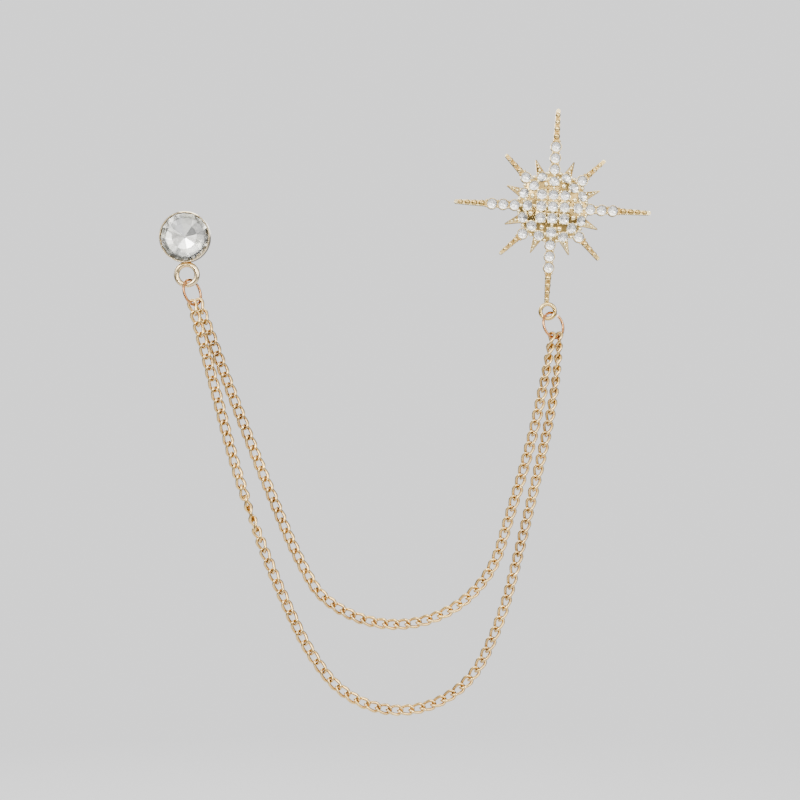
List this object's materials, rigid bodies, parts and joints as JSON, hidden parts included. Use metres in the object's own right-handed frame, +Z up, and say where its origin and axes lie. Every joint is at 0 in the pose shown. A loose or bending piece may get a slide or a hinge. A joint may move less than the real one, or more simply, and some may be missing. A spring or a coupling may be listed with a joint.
{
  "type": "lapel chain",
  "caption": "Gold-tone lapel chain: a crystal-set star pin and a round crystal stud joined by two hanging curb chains.",
  "frame": {"origin": "middle of the star's back, where its pin post stands and the lapel's cloth lies against it", "axes": "+Z up as worn, +Y from the front of the star into the lapel, along the posts, +X to the wearer's left, from the stud to the star"},
  "size_m": [0.0995, 0.0132, 0.1232],
  "materials": {
    "star_gold": "polished pale gold plating",
    "stud_gold": "polished pale gold plating",
    "ring_gold": "polished rose gold plating",
    "chain_gold": "polished gold plating",
    "small_crystal": "cut clear crystal, foiled back",
    "stud_crystal": "cut clear crystal, foiled back"
  },
  "bodies": {
    "root": {"star_setting": "star_gold", "stud_cup": "stud_gold", "stud_stone": "stud_crystal", "left_jump_ring": "ring_gold", "right_jump_ring": "ring_gold", "long_chain": "chain_gold", "short_chain": "chain_gold", "dome_stone_01": "small_crystal", "dome_stone_02": "small_crystal", "dome_stone_03": "small_crystal", "dome_stone_04": "small_crystal", "dome_stone_05": "small_crystal", "dome_stone_06": "small_crystal", "dome_stone_07": "small_crystal", "dome_stone_08": "small_crystal", "dome_stone_09": "small_crystal", "dome_stone_10": "small_crystal", "dome_stone_11": "small_crystal", "dome_stone_12": "small_crystal", "dome_stone_13": "small_crystal", "dome_stone_14": "small_crystal", "dome_stone_15": "small_crystal", "dome_stone_16": "small_crystal", "dome_stone_17": "small_crystal", "dome_stone_18": "small_crystal", "dome_stone_19": "small_crystal", "dome_stone_20": "small_crystal", "dome_stone_21": "small_crystal", "dome_stone_22": "small_crystal", "dome_stone_23": "small_crystal", "dome_stone_24": "small_crystal", "dome_stone_25": "small_crystal", "ray_stone_01": "small_crystal", "ray_stone_02": "small_crystal", "ray_stone_03": "small_crystal", "ray_stone_04": "small_crystal", "ray_stone_05": "small_crystal", "ray_stone_06": "small_crystal", "ray_stone_07": "small_crystal", "ray_stone_08": "small_crystal", "ray_stone_09": "small_crystal", "ray_stone_10": "small_crystal", "ray_stone_11": "small_crystal", "ray_stone_12": "small_crystal", "ray_stone_13": "small_crystal", "ray_stone_14": "small_crystal", "ray_stone_15": "small_crystal", "ray_stone_16": "small_crystal"}
  },
  "joints": []
}
